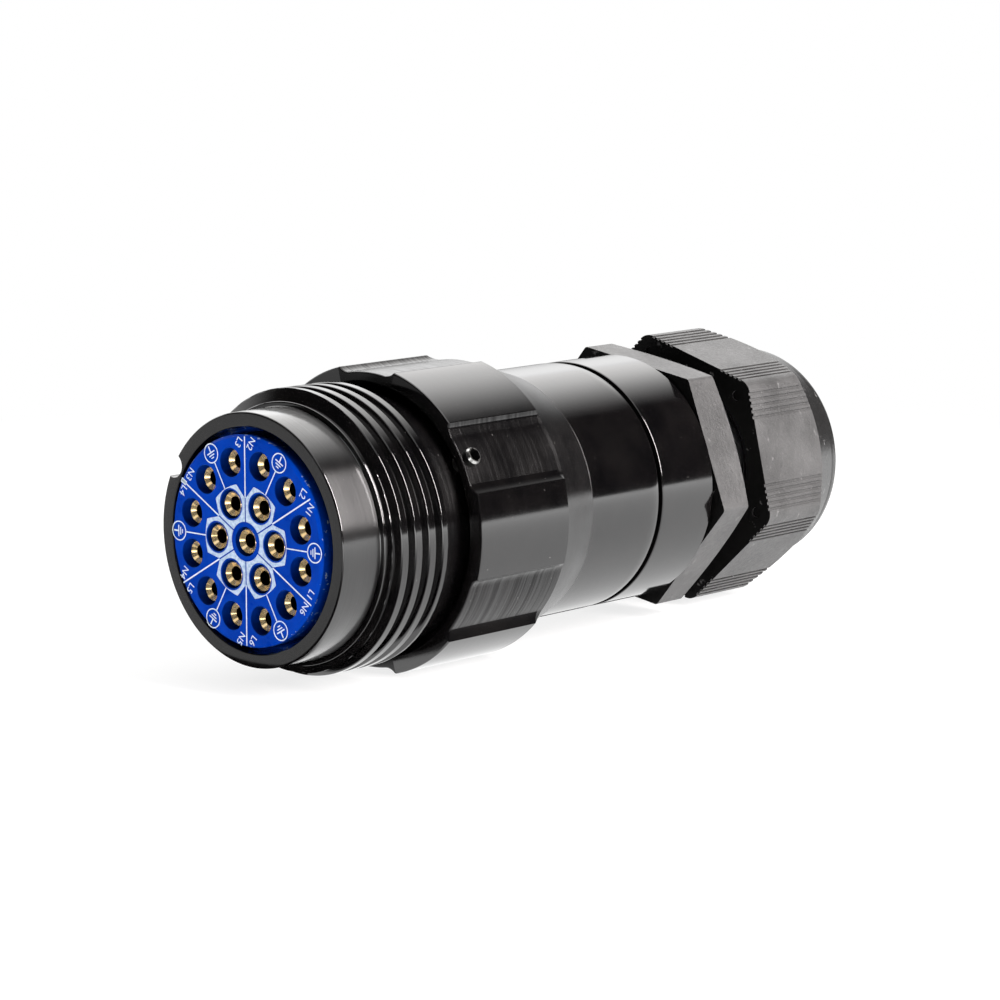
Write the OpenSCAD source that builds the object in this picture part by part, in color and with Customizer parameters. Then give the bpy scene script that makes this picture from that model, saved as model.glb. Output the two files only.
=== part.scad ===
// Round inline multi-pole power connector with a cable gland, lying on its side.
// The axis runs along Y: the mating face looks towards -Y and the gland towards +Y, with Z up.
// The origin is on the axis, in the plane of the collar rim. All sizes are millimetres and degrees.

/* [Piece] */
// Piece to draw, or all of them

/* [Mating end] */
// Outside diameter of the front collar
collar_d = 42; // [38:0.5:48]
// Length of the collar from its rim to the step of the thread
collar_len = 8.3; // [6:0.1:14]
// Wall of the collar round the recess
collar_wall = 2.45; // [2.2:0.05:3.2]
// Depth of the recess round the insert
recess_depth = 14; // [11:0.5:18]
// Diameter of the key notch in the rim
key_d = 4.1; // [3:0.1:5]
// Length of the key notch along the collar
key_len = 4; // [2:0.5:6]
// Place of the key notch round the axis
key_angle = 150; // [0:1:359]
// Radial space between the insert and the recess
insert_gap = 1.15; // [0.8:0.05:1.5]
// How far the insert stands out of the rim
insert_proud = 1.1; // [0:0.1:2]

/* [Coupling thread] */
// How far the thread crest stands above the collar
thread_step = 2.9; // [2.6:0.1:5]
// Rise of the thread in one turn
thread_pitch = 3.2; // [2.4:0.1:4]
// Depth of the thread groove
thread_depth = 1.3; // [0.8:0.1:1.6]
// Width of the flat crest
crest_w = 1.4; // [0.8:0.05:1.8]
// Length of the threaded part
thread_len = 13.2; // [9:0.1:20]
// Plain length between the thread and the grip
relief_len = 5.35; // [4:0.05:12]

/* [Contacts] */
// Outside diameter of a contact
contact_d = 4; // [3.2:0.1:4.4]
// Bore of a socket
socket_d = 2.4; // [1.6:0.1:2.8]
// Depth of a socket
socket_depth = 12; // [8:0.5:16]
// Distance from the outer contact circle to the edge of the insert
outer_edge = 4.35; // [3.6:0.05:4.6]
// Circle of the six inner contacts
inner_pcd = 13.3; // [12.2:0.1:14.4]
// How far the outer contacts sit behind the insert face
outer_sink = 1.45; // [0.5:0.05:3]
// How far the inner contacts sit behind the insert face
inner_sink = 0.4; // [0.2:0.05:2]
// Radial space round a contact at the insert face
contact_space = 0.4; // [0.2:0.05:0.5]
// Length of the wire ends behind the plate
tail_len = 10; // [8:0.5:12]
// Thickness of the rear plate
plate_t = 10; // [7:0.1:12]

/* [Grip] */
// Thickness of the grip over the spigot of the front shell
grip_wall = 4.3; // [3.6:0.05:7]
// Length of the grip
grip_len = 21.5; // [17:0.5:32]
// Length of the spigot inside the grip
spigot_len = 13.5; // [9:0.5:16]
// Depth of the milled pockets
pocket_depth = 1.15; // [0.6:0.05:1.4]
// Width of a pocket round the axis
pocket_span = 28.4; // [20:0.2:40]
// Radius at the sides of a pocket
pocket_r = 2.8; // [1.5:0.1:4]
// Diameter of the set screw
screw_d = 3; // [2.5:0.1:3.5]
// Distance of the set screw from the front of the grip
screw_y = 1.9; // [1.9:0.1:8]

/* [Barrel] */
// Outside diameter of the barrel
barrel_d = 43.9; // [41:0.1:48]
// Length of the taper behind the grip
taper_len = 11.05; // [6:0.05:20]
// Plain length of the barrel
barrel_len = 18.1; // [14:0.1:40]
// Length of the gland adapter behind the joint
adapter_len = 14; // [12:0.5:30]
// Length of the adapter spigot inside the barrel
adapter_spigot_len = 11; // [6:0.5:13]
// Wall of the barrel
wall = 3; // [2.4:0.1:4]

/* [Gland] */
// Diameter of the gland thread in the adapter
gland_d = 31.8; // [28:0.2:35]
// Length of the gland thread in the adapter
gland_len = 11; // [8:0.5:11.5]
// Wall of the gland body inside its front thread
gland_wall = 3.1; // [2.6:0.1:5]
// Width across the flats of the gland flange
flange_af = 42.1; // [40:0.1:48]
// Length of the gland flange
flange_len = 7.9; // [5:0.1:12]
// Turn of the gland flange round the axis
flange_angle = 50.6; // [0:0.1:60]
// Free neck between the flange and the nut
neck_gap = 5.65; // [3:0.05:8]
// How far the neck stands above the front thread
neck_step = 0.7; // [0.4:0.05:1.6]
// Wall of the neck round the sleeve
neck_wall = 2.2; // [1.6:0.1:3]
// Length of the thread inside the nut at rest
engaged_len = 9.7; // [8:0.1:11]
// Width across the flats of the nut
nut_af = 43.3; // [41.6:0.1:50]
// Length of the nut flats at the corners
nut_len = 14.4; // [13:0.1:20]
// Turn of the nut round the axis
nut_angle = 43.1; // [0:0.1:60]
// How far the dome lies below the nut flats
dome_step = 0.45; // [0.2:0.05:1.5]
// Length of the dome behind the nut flats
dome_len = 8.7; // [7:0.1:14]
// Rounding at the end of the dome
dome_r = 3.6; // [2:0.1:4]
// Wall of the rubber sleeve
seal_wall = 2.75; // [2:0.05:6]
// Radial space between the cable and the hole of the nut
cable_space = 1; // [0.4:0.1:2]

/* [Hidden] */
$fn = 96;
sectors = 6;
line_names = [for (i = [1:sectors]) str("contact_line_", i)];
neutral_names = [for (i = [1:sectors]) str("contact_neutral_", i)];
earth_names = [for (i = [1:sectors]) str("contact_earth_", i)];
shell_names = ["front_shell", "contact_insert", "contact_plate", "retaining_ring"];
body_names = ["backshell", "set_screw", "joint_seal", "gland_adapter"];
gland_names = ["gland_washer", "gland_body", "gland_seal", "slip_ring", "gland_nut"];
contact_names = concat(line_names, neutral_names, earth_names, ["contact_centre"]);

// Clearance between pieces that are fixed together
fit = 0.05;
// Small bevels: on the rim, on plain edges, and on the ends of spigots and threads
rim_bevel = 0.25;
edge = 0.45;
lead_in = 0.6;

// Spring ring behind the plate, and the step of the bore that the plate sits against
ring_t = 1.6;
ring_w = 1.9;
ring_groove = 1;
ring_eye_r = 1.9;
ring_gap = 6;
ring_hole_r = 0.9;
eye_angle = 17.5;
disc_step = 0.65;
spigot_wall = 2.6;

// Radii of the front shell
collar_r = collar_d / 2;
recess_r = collar_r - collar_wall;
insert_r = recess_r - insert_gap;
thread_r = collar_r + thread_step;
root_r = thread_r - thread_depth;
disc_r = recess_r + disc_step;
shell_bore_r = disc_r + fit;
groove_r = shell_bore_r + ring_groove;
relief_r = shell_bore_r + spigot_wall;
step_fillet = 0.5;
step_flat = 1.2;

// Places along the axis, from the rim to the end of the front shell
step_y = collar_len;
thread_end_y = step_y + thread_len;
grip_y = thread_end_y + relief_len;
plate_y = recess_depth;
ring_y = plate_y + plate_t;
spigot_end_y = grip_y + spigot_len;
spigot_bore_y = spigot_end_y + 4 * fit;

// Circles and details of the contacts
outer_ring_r = insert_r - outer_edge;
inner_ring_r = inner_pcd / 2;
contact_r = contact_d / 2;
socket_r = socket_d / 2;
contact_bevel = 0.15;
mouth_depth = contact_r - contact_bevel - socket_r;
space_depth = 5;
stop_step = 0.7;
stop_t = 1.4;
cup_wall = 0.6;
cup_depth = 6;

// Places along the axis, from the grip to the joint
grip_end_y = grip_y + grip_len;
floor_end_y = grip_end_y + pocket_depth;
taper_y = grip_end_y + taper_len;
joint_y = taper_y + barrel_len;
joint_gap = 0.5;
adapter_y = joint_y + joint_gap;
adapter_end_y = adapter_y + adapter_len;

// Radii of the backshell and the adapter
grip_r = relief_r + grip_wall;
floor_r = grip_r - pocket_depth;
barrel_r = barrel_d / 2;
barrel_bore_r = barrel_r - wall;
spigot_bore_r = relief_r + fit;
mouth_bevel = 1.6;
mouth_r = spigot_bore_r + mouth_bevel;
screw_proud = 1.4;
adapter_spigot_r = barrel_bore_r - fit;
seal_section = 1.4;
seal_ring_r = adapter_spigot_r + seal_section / 2;
seal_ring_y = adapter_y - seal_section / 2;
seal_chamfer = joint_y - seal_ring_y + seal_ring_r + seal_section * 0.72 - barrel_bore_r;

// Places and radii of the gland
washer_t = 0.75;
washer_w = 3.3;
flange_y = adapter_end_y + washer_t;
flange_end_y = flange_y + flange_len;
flange_bevel = 1.45;
flange_corner = 0.8;
gland_r = gland_d / 2;
gland_front_y = adapter_end_y - gland_len;
neck_r = gland_r + neck_step;
body_bore_r = gland_r - gland_wall;
passage_r = body_bore_r + 1;
seal_seat_r = neck_r - neck_wall;
seat_depth = 2.4;
seal_y = flange_end_y + seat_depth;
nut_y = flange_end_y + neck_gap;
neck_end_y = nut_y + engaged_len;
nut_corner_end_y = nut_y + nut_len;
nut_flat_r = nut_af / 2;
nut_corner_r = nut_flat_r / cos(30);
nut_corner = 3;
nut_mouth = 1.45;
dome_start_r = nut_flat_r - dome_step;
dome_taper = 1.4;
dome_y = nut_corner_end_y + nut_corner_r - dome_start_r;
dome_end_y = dome_y + dome_len;
nut_bore_r = neck_r + fit;
seal_r = seal_seat_r - fit;
seal_bore_r = seal_r - seal_wall;
seal_proud = 2;
seal_end_y = neck_end_y + seal_proud;
slip_t = 1.5;
slip_y = seal_end_y + fit;
shoulder_y = slip_y + slip_t + fit;
cable_r = seal_bore_r + cable_space;
hole_len = 6;
hole_bevel = 1.2;

// Grip grooves of the nut
groove_depth = 0.3;
groove_w = 0.55;
groove_pitch = 1.08;
groove_edge = 2;

// A turned piece: a section of [radius, place along Y] points, swept round the axis
module turned(section) {
    rotate([-90, 0, 0])
        rotate_extrude()
            polygon(section);
}

// Turns a feature drawn at +X round the axis, from +X towards +Z
module at_angle(a) {
    rotate([0, -a, 0])
        children();
}

// A cylinder along the axis between two places
module rod(r, y1, y2) {
    translate([0, y1, 0])
        rotate([-90, 0, 0])
            cylinder(r = r, h = y2 - y1);
}

// A cone along the axis between two places
module cone(r1, y1, r2, y2) {
    translate([0, y1, 0])
        rotate([-90, 0, 0])
            cylinder(r1 = r1, r2 = r2, h = y2 - y1);
}

// A tube along the axis
module tube(r1, r2, y1, y2) {
    turned([[r1, y1], [r2, y1], [r2, y2], [r1, y2]]);
}

// A hexagon along the axis with rounded corners, the first corner at angle a
module hex_bar(af, corner, a, y1, y2) {
    c = (af / 2 - corner) / cos(30);
    tangents = [for (i = [0:5], s = [-30, 30]) [i * 60, i * 60 + s]];
    at_angle(a)
        translate([0, y1, 0])
            rotate([-90, 0, 0])
                linear_extrude(height = y2 - y1)
                    union() {
                        polygon([for (t = tangents)
                            [c * cos(t[0]) + corner * cos(t[1]), c * sin(t[0]) + corner * sin(t[1])]]);
                        for (i = [0:5])
                            translate([c * cos(i * 60), c * sin(i * 60)])
                                circle(r = corner, $fn = 32);
                    }
}

// The thread groove: a right-hand helix of trapezoid section, as a solid to cut away
module helix_groove() {
    steps = 40;
    turns = ceil(thread_len / thread_pitch) + 3;
    last = steps * turns;
    top_w = thread_pitch - crest_w;
    root_w = 0.28 * top_w;
    reach = 0.7 * thread_depth;
    wide = top_w + (top_w - root_w) * reach / thread_depth;
    start_y = step_y - 0.57 * thread_pitch;
    section = [[root_r, -root_w / 2], [root_r, root_w / 2], [thread_r + reach, wide / 2],
        [thread_r + reach, -wide / 2]];
    rows = [for (i = [0:last], p = section)
        [p[0] * cos(i * 360 / steps), start_y + i * thread_pitch / steps + p[1],
            -p[0] * sin(i * 360 / steps)]];
    walls = [for (i = [0:last - 1], k = [0:3], half = [0, 1])
        half == 0 ? [4 * i + k, 4 * i + 4 + k, 4 * i + (k + 1) % 4]
            : [4 * i + (k + 1) % 4, 4 * i + 4 + k, 4 * i + 4 + (k + 1) % 4]];
    ends = [[0, 1, 2], [0, 2, 3], [4 * last, 4 * last + 2, 4 * last + 1],
        [4 * last, 4 * last + 3, 4 * last + 2]];
    polyhedron(points = rows, faces = concat(walls, ends));
}

// Front shell: collar with key notch, thread, relief and the spigot inside the backshell
module front_shell() {
    start = thread_step - step_flat;
    color("dimgray")
        difference() {
            turned([[recess_r, rim_bevel], [recess_r + rim_bevel, 0], [collar_r - rim_bevel, 0],
                [collar_r, rim_bevel], [collar_r, step_y - step_fillet], [collar_r + step_fillet, step_y],
                [collar_r + step_flat, step_y], [thread_r, step_y + start * 0.55],
                [thread_r, thread_end_y - lead_in / 2], [thread_r - lead_in, thread_end_y],
                [relief_r, thread_end_y], [relief_r, spigot_end_y - lead_in],
                [relief_r - lead_in, spigot_end_y], [shell_bore_r, spigot_end_y],
                [shell_bore_r, ring_y + ring_t + fit], [groove_r, ring_y + ring_t + fit],
                [groove_r, ring_y - fit], [shell_bore_r, ring_y - fit], [shell_bore_r, plate_y],
                [recess_r, plate_y]]);
            helix_groove();
            // rounds the inside corner between collar and thread
            rotate([-90, 0, 0])
                rotate_extrude()
                    translate([collar_r + step_fillet, step_y - step_fillet])
                        circle(r = step_fillet, $fn = 32);
            // key notch in the rim
            at_angle(key_angle)
                translate([collar_r, 0, 0])
                    rod(key_d / 2, -1, key_len);
        }
}

// Holes of the insert at every contact
module contact_holes(r, y1, y2) {
    for (i = [0:sectors - 1]) {
        at_angle(60 * i)
            translate([inner_ring_r, 0, 0])
                rod(r, y1, y2);
        at_angle(60 * i - 15)
            translate([outer_ring_r, 0, 0])
                rod(r, y1, y2);
        at_angle(60 * i + 15)
            translate([outer_ring_r, 0, 0])
                rod(r, y1, y2);
    }
    rod(r, y1, y2);
}

// Blue insulator that carries the contacts
module contact_insert() {
    color("royalblue")
        difference() {
            turned([[0, -insert_proud], [insert_r - edge, -insert_proud], [insert_r, edge - insert_proud],
                [insert_r, plate_y], [0, plate_y]]);
            contact_holes(contact_r + fit, -insert_proud - 1, plate_y + 1);
            contact_holes(contact_r + contact_space, -insert_proud - 1, space_depth);
        }
}

// Rear plate that holds the contact flanges against the insert and closes the recess round it
module contact_plate() {
    color("navy")
        difference() {
            tube(0, disc_r, plate_y + fit, ring_y - fit);
            contact_holes(contact_r + fit, plate_y, ring_y + 1);
            contact_holes(contact_r + stop_step + fit, plate_y - 1, plate_y + stop_t + 4 * fit);
        }
}

// Internal spring ring, open at the bottom, with an eye at each end
module retaining_ring() {
    inner = shell_bore_r - ring_w;
    outer = groove_r - fit;
    eye = inner - 4 * fit;
    color("silver")
        translate([0, ring_y, 0])
            rotate([-90, 0, 0])
                linear_extrude(height = ring_t)
                    difference() {
                        union() {
                            difference() {
                                circle(r = outer);
                                circle(r = inner);
                                translate([-ring_gap / 2, 0])
                                    square([ring_gap, 2 * outer]);
                            }
                            for (s = [-1, 1])
                                translate([s * eye * sin(eye_angle), eye * cos(eye_angle)])
                                    circle(r = ring_eye_r, $fn = 48);
                        }
                        for (s = [-1, 1])
                            translate([s * eye * sin(eye_angle), eye * cos(eye_angle)])
                                circle(r = ring_hole_r, $fn = 48);
                    }
}

// A socket contact: bevelled mouth, socket, stop flange behind the insert and a wire cup at the rear
module contact(face_y) {
    r = contact_r;
    stop_y = plate_y + 2 * fit;
    end_y = ring_y + tail_len;
    turned([[socket_r, face_y + mouth_depth], [r - contact_bevel, face_y], [r, face_y + contact_bevel],
        [r, stop_y], [r + stop_step, stop_y], [r + stop_step, stop_y + stop_t], [r, stop_y + stop_t],
        [r, end_y], [r - cup_wall, end_y], [r - cup_wall, end_y - cup_depth], [0, end_y - cup_depth],
        [0, face_y + socket_depth], [socket_r, face_y + socket_depth]]);
}

module contact_line(i) {
    color("goldenrod")
        at_angle(60 * (i - 1) - 15)
            translate([outer_ring_r, 0, 0])
                contact(outer_sink - insert_proud);
}

module contact_neutral(i) {
    color("gold")
        at_angle(60 * (i - 1) + 15)
            translate([outer_ring_r, 0, 0])
                contact(outer_sink - insert_proud);
}

module contact_earth(i) {
    color("darkgoldenrod")
        at_angle(60 * (i - 1))
            translate([inner_ring_r, 0, 0])
                contact(inner_sink - insert_proud);
}

module contact_centre() {
    color("khaki")
        contact(inner_sink - insert_proud);
}

// A milled pocket of the grip, centred at +X, as a solid to cut away
module pocket() {
    half = sqrt(pocket_r * pocket_r - pow(pocket_r - pocket_depth, 2));
    side = pocket_span / 2 - asin(half / grip_r);
    union() {
        intersection() {
            difference() {
                rod(grip_r + 2, grip_y - 1, floor_end_y + 1);
                rod(floor_r, grip_y - 2, floor_end_y + 2);
            }
            translate([0, grip_y - 1, 0])
                rotate([-90, 0, 0])
                    linear_extrude(height = floor_end_y - grip_y + 2)
                        polygon([[0, 0], [2 * grip_r * cos(side), 2 * grip_r * sin(side)],
                            [2 * grip_r * cos(side), -2 * grip_r * sin(side)]]);
        }
        for (s = [-1, 1])
            at_angle(s * side)
                translate([floor_r + pocket_r, 0, 0])
                    rod(pocket_r, grip_y - 1, floor_end_y + 1);
    }
}

// Backshell: grip with six pockets, taper and barrel
module backshell() {
    color("gray")
        difference() {
            turned([[spigot_bore_r, grip_y + mouth_bevel], [mouth_r, grip_y], [grip_r - rim_bevel, grip_y],
                [grip_r, grip_y + rim_bevel], [grip_r, grip_end_y], [floor_r, floor_end_y],
                [barrel_r, taper_y], [barrel_r, joint_y - edge], [barrel_r - edge, joint_y],
                [barrel_bore_r + seal_chamfer, joint_y], [barrel_bore_r, joint_y - seal_chamfer],
                [barrel_bore_r, spigot_bore_y], [spigot_bore_r, spigot_bore_y]]);
            for (i = [0:sectors - 1])
                at_angle(30 + 60 * i)
                    pocket();
            // hole of the set screw
            at_angle(30)
                translate([relief_r - 2, grip_y + screw_y, 0])
                    rotate([0, 90, 0])
                        cylinder(r = screw_d / 2 + fit / 2, h = grip_r);
        }
}

// Socket set screw, standing a little out of its pocket
module set_screw() {
    r = screw_d / 2;
    foot = relief_r + fit;
    top = floor_r + screw_proud;
    color("lightgray")
        at_angle(30)
            translate([0, grip_y + screw_y, 0])
                rotate([0, 90, 0])
                    difference() {
                        union() {
                            translate([0, 0, foot])
                                cylinder(r1 = r - edge, r2 = r, h = edge);
                            translate([0, 0, foot + edge])
                                cylinder(r = r, h = top - foot - 2 * edge);
                            translate([0, 0, top - edge])
                                cylinder(r1 = r, r2 = r - rim_bevel, h = edge);
                        }
                        translate([0, 0, top - r])
                            cylinder(r = r * 0.78, h = r + 1, $fn = 6);
                    }
}

// Ring seal in the joint of the barrel
module joint_seal() {
    color("black")
        rotate([-90, 0, 0])
            rotate_extrude()
                translate([seal_ring_r, seal_ring_y])
                    circle(r = seal_section / 2 - fit / 5, $fn = 32);
}

// Rear barrel that takes the gland
module gland_adapter() {
    front = adapter_y - adapter_spigot_len;
    bore = gland_r + fit;
    bore_y = gland_front_y - edge;
    color("dimgray")
        turned([[passage_r, front], [adapter_spigot_r - edge, front], [adapter_spigot_r, front + edge],
            [adapter_spigot_r, adapter_y], [barrel_r - edge, adapter_y], [barrel_r, adapter_y + edge],
            [barrel_r, adapter_end_y - rim_bevel], [barrel_r - rim_bevel, adapter_end_y],
            [bore + rim_bevel, adapter_end_y], [bore, adapter_end_y - rim_bevel], [bore, bore_y],
            [passage_r, bore_y]]);
}

// Flat seal between the adapter and the gland flange
module gland_washer() {
    color("black")
        tube(gland_r + 6 * fit, gland_r + 6 * fit + washer_w, adapter_end_y + fit / 5, flange_y - fit / 5);
}

// Gland body: front thread, hexagon flange, neck for the nut and the seat of the sleeve
module gland_body() {
    corner = flange_af / 2 / cos(30);
    color("darkslategray")
        difference() {
            union() {
                rod(gland_r, gland_front_y + edge, flange_y + 1);
                cone(gland_r - edge, gland_front_y, gland_r, gland_front_y + edge);
                intersection() {
                    hex_bar(flange_af, flange_corner, flange_angle, flange_y, flange_end_y);
                    turned([[0, flange_y - 1], [corner + 1, flange_y - 1],
                        [corner + 1, flange_end_y - flange_bevel],
                        [flange_af / 2 - fit, flange_end_y], [0, flange_end_y]]);
                }
                rod(neck_r, flange_end_y - 1, neck_end_y - lead_in);
                cone(neck_r, neck_end_y - lead_in, neck_r - lead_in, neck_end_y);
            }
            rod(body_bore_r, gland_front_y - 1, neck_end_y + 1);
            rod(seal_seat_r, seal_y, neck_end_y + 1);
        }
}

// Rubber sleeve that grips the cable
module gland_seal() {
    r = seal_r;
    bore = seal_bore_r;
    color("black")
        turned([[bore + 2 * edge, seal_y + fit], [r, seal_y + fit], [r, neck_end_y - edge],
            [r - edge, seal_end_y], [bore + edge, seal_end_y], [bore, seal_end_y - 2 * edge],
            [bore, seal_y + fit + 2 * edge]]);
}

// Ring that passes the push of the nut to the sleeve without turning it
module slip_ring() {
    color("whitesmoke")
        tube(cable_r + 4 * fit, nut_bore_r - 2 * fit, slip_y, slip_y + slip_t);
}

// Dome nut: rounded hexagon with grip grooves, turned chamfer, dome and cable hole
module gland_nut() {
    face_r = dome_start_r - dome_taper - dome_r;
    last_groove = nut_flat_r * tan(30) - groove_edge;
    color("slategray")
        difference() {
            union() {
                intersection() {
                    hex_bar(nut_af, nut_corner, nut_angle, nut_y, dome_y);
                    turned([[0, nut_y - 1], [nut_corner_r, nut_y - 1], [nut_corner_r, nut_corner_end_y],
                        [dome_start_r, dome_y], [0, dome_y]]);
                }
                turned([[0, dome_y - 1], [dome_start_r, dome_y - 1], [dome_start_r, dome_y],
                    [face_r + dome_r, dome_end_y - dome_r], [face_r, dome_end_y - dome_r],
                    [face_r, dome_end_y], [0, dome_end_y]]);
                rotate([-90, 0, 0])
                    rotate_extrude()
                        translate([face_r, dome_end_y - dome_r])
                            circle(r = dome_r, $fn = 48);
            }
            // thread bore with a wide mouth, pocket of the slip ring, cone and cable hole
            turned([[0, nut_y - 1], [nut_bore_r + nut_mouth, nut_y - 1], [nut_bore_r + nut_mouth, nut_y],
                [nut_bore_r, nut_y + nut_mouth], [nut_bore_r, shoulder_y],
                [nut_bore_r - nut_mouth, shoulder_y], [cable_r, dome_end_y - hole_len],
                [cable_r, dome_end_y - hole_bevel], [cable_r + hole_bevel, dome_end_y],
                [cable_r + hole_bevel, dome_end_y + 1], [0, dome_end_y + 1]]);
            // grip grooves in groups beside the corners
            for (i = [0:5], s = [-1, 1], k = [0:4])
                at_angle(nut_angle + 30 + 60 * i)
                    translate([nut_flat_r - groove_depth, nut_y - 1,
                        s * (last_groove - k * groove_pitch) - groove_w / 2])
                        cube([3, dome_y - nut_y + 1, groove_w]);
            // shallow marks on the front face at the corners
            for (i = [0:5])
                at_angle(nut_angle + 60 * i)
                    translate([nut_flat_r - groove_depth, 0, 0])
                        rod(0.9, nut_y - 1, nut_y + groove_depth);
        }
}

front_shell();
contact_insert();
contact_plate();
retaining_ring();
backshell();
set_screw();
joint_seal();
gland_adapter();
gland_washer();
gland_body();
gland_seal();
slip_ring();
gland_nut();
for (i = [1:sectors]) {
    contact_line(i);
    contact_neutral(i);
    contact_earth(i);
}
contact_centre();
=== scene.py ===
import math

import bmesh
import bpy
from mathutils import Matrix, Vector


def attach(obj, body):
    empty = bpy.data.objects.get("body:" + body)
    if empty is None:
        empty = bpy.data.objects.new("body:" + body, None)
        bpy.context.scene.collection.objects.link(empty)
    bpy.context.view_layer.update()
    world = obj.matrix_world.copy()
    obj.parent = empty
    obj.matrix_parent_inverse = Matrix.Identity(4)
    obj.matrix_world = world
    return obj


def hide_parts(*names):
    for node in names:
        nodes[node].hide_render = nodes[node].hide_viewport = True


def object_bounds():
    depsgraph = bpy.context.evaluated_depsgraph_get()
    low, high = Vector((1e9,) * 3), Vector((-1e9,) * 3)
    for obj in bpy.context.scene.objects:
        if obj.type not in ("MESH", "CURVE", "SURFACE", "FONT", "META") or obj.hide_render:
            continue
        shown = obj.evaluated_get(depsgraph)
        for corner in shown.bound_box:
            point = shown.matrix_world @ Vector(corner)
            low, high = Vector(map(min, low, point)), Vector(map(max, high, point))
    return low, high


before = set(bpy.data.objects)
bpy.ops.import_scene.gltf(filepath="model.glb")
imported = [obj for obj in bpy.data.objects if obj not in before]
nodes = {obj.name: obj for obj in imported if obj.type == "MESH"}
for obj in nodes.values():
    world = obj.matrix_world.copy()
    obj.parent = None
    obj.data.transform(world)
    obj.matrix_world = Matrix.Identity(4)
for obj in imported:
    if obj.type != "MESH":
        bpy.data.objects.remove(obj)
cad_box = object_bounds()
scene = bpy.context.scene
MM = 0.001

# Sizes as in the part's source, in millimetres and degrees
RECESS_R, RECESS_Y = 18.55, 14.0
COLLAR_R = 21.0
NOTCH_R, NOTCH_LEN, KEY_ANGLE = 2.05, 4.0, 150.0
CREST_R, ROOT_R, PITCH = 23.9, 22.6, 3.2
GROOVE_TOP, GROOVE_ROOT, GROOVE_Y = 0.9, 0.252, 6.476
THREAD_END, RELIEF_R = 21.5, 21.85
SPIGOT_END, SHELL_BORE = 40.35, 19.25
RING_Y, RING_END, RING_DEPTH = 23.95, 25.65, 1.0
INSERT_FACE, INNER_R = -1.1, 6.65
GRIP_R, FLOOR_R, GRIP_Y, GRIP_END, FLOOR_END = 26.15, 25.0, 26.85, 48.35, 49.5
POCKET_R, POCKET_SPAN = 2.8, 28.4
BARREL_R, TAPER_Y, JOINT_Y, BARREL_BORE = 21.95, 59.4, 77.5, 18.95
SEAT_Y, MOUTH_BEVEL, JOINT_BEVEL = 40.55, 1.6, 1.858
ADAPTER_Y, ADAPTER_END, SPIGOT_R, GLAND_BORE, PASSAGE_R = 78.0, 92.0, 18.9, 15.95, 13.8
SPIGOT_Y, BORE_Y = 67.0, 80.55
FIT, RIM_BEVEL, EDGE_BEVEL, LEAD_IN = 0.05, 0.25, 0.45, 0.6

# Small forms that only the scene has: a shoulder before the thread, rounded edges and the rolled barrel end
STEP_Y, STEP_CORNER, SHOULDER_R, SHOULDER_END = 8.5, 0.1, 21.85, 9.25
FIRST_SLOPE, LAST_SLOPE, LAST_LEN = 2.4, 2.0, 0.3
RIM_ROUND, SHOULDER_ROUND, ADAPTER_ROUND = 0.3, 0.26, 0.3
CREST_FRONT, CREST_REAR = 0.28, 0.08
# END_SHADE_LEN is how far back from the joint the barrel's end gets the painted-shade finish
END_DROP, END_LEN, END_SHADE_LEN = 0.45, 2.8, 0.45

# Contacts are painted darker inside this radius, which is just past that of their sockets: painted shade in
# the sockets
SOCKET_SHADE_R = 1.22


# Materials

def material(name):
    m = bpy.data.materials.new(name)
    m.use_nodes = True
    tree = m.node_tree
    tree.nodes.clear()
    out = tree.nodes.new("ShaderNodeOutputMaterial")
    return m, tree, out


def add(tree, kind, inputs=None, **settings):
    n = tree.nodes.new(kind)
    for k, v in settings.items():
        setattr(n, k, v)
    for k, v in (inputs or {}).items():
        if isinstance(v, bpy.types.NodeSocket):
            tree.links.new(v, n.inputs[k])
        else:
            n.inputs[k].default_value = v
    return n


def place(tree, scale):
    """Object coordinates in metres, stretched by scale."""
    c = add(tree, "ShaderNodeTexCoord")
    return add(tree, "ShaderNodeMapping", {"Vector": c.outputs["Object"], "Scale": scale}).outputs[0]


def noise(tree, scale, detail=3.0, rough=0.55):
    v = place(tree, scale)
    return add(tree, "ShaderNodeTexNoise", {"Vector": v, "Scale": 1.0, "Detail": detail,
                                            "Roughness": rough}).outputs["Fac"]


def spread(tree, value, low, high, to_low, to_high):
    return add(tree, "ShaderNodeMapRange", {"Value": value, "From Min": low, "From Max": high,
                                            "To Min": to_low, "To Max": to_high}).outputs[0]


def blend(tree, fac, a, b):
    n = add(tree, "ShaderNodeMix", {"Factor": fac}, data_type="RGBA")
    for i, v in ((6, a), (7, b)):
        if isinstance(v, bpy.types.NodeSocket):
            tree.links.new(v, n.inputs[i])
        else:
            n.inputs[i].default_value = (*v, 1.0)
    return n.outputs[2]


def smooth(tree, value, low, high, to_high=1.0):
    return add(tree, "ShaderNodeMapRange", {"Value": value, "From Min": low, "From Max": high, "To Min": 0.0,
                                            "To Max": to_high}, interpolation_type="SMOOTHSTEP").outputs[0]


def times(tree, a, b):
    return add(tree, "ShaderNodeMath", {0: a, 1: b}, operation="MULTIPLY").outputs[0]


def bump(tree, height, strength, distance):
    inputs = {"Height": height, "Strength": strength, "Distance": distance}
    return add(tree, "ShaderNodeBump", inputs).outputs[0]


def surface(color, rough, normal, tree, out, **sockets):
    """One surface; the names of further sockets have _ for a space."""
    inputs = {k.replace("_", " "): v for k, v in sockets.items()}
    inputs.update({"Base Color": color, "Roughness": rough, "Normal": normal})
    p = add(tree, "ShaderNodeBsdfPrincipled", inputs)
    tree.links.new(p.outputs[0], out.inputs[0])
    return p


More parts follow.
